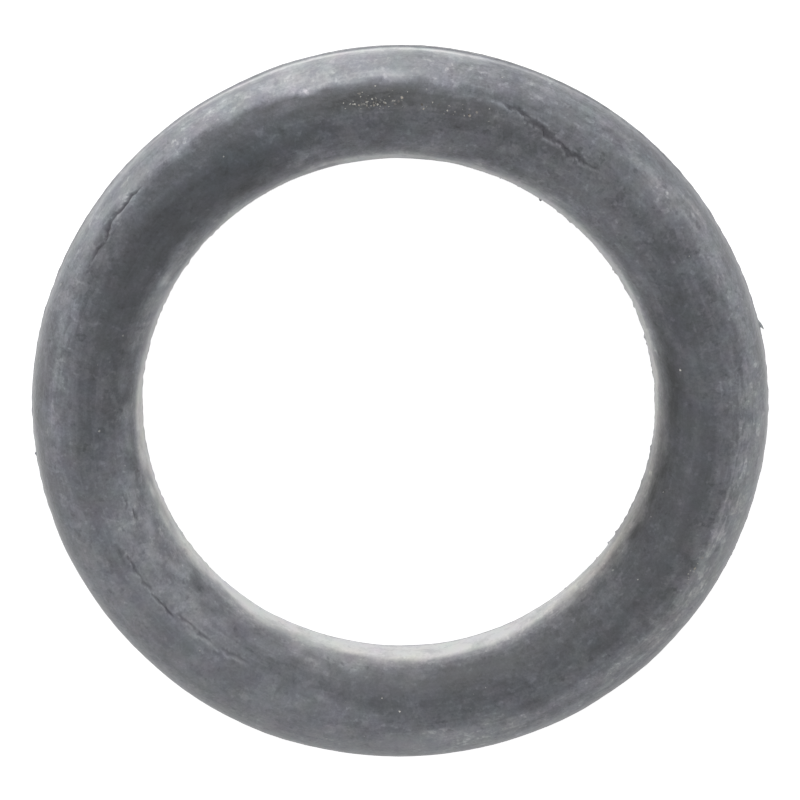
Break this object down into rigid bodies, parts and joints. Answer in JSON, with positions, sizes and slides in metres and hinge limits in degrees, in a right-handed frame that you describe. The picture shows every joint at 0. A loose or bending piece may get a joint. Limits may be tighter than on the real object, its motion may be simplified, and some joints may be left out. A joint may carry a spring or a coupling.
{
  "type": "o-ring",
  "caption": "Round-section rubber sealing ring that fits in a groove between two round parts, worn, with trimmed mould flash and surface cracks.",
  "frame": {"origin": "on the ring's axis, level with the lowest line of the cord, where the ring rests on a surface", "axes": "+Z along the ring's axis, upwards; +X and +Y across the ring, with the largest gouge in the +X +Y quarter"},
  "size_m": [0.0354, 0.0354, 0.0054],
  "materials": {
    "nitrile_rubber": "aged matt black, dusty, paler where it has bloomed"
  },
  "bodies": {
    "root": {"o_ring": "nitrile_rubber"}
  },
  "joints": []
}
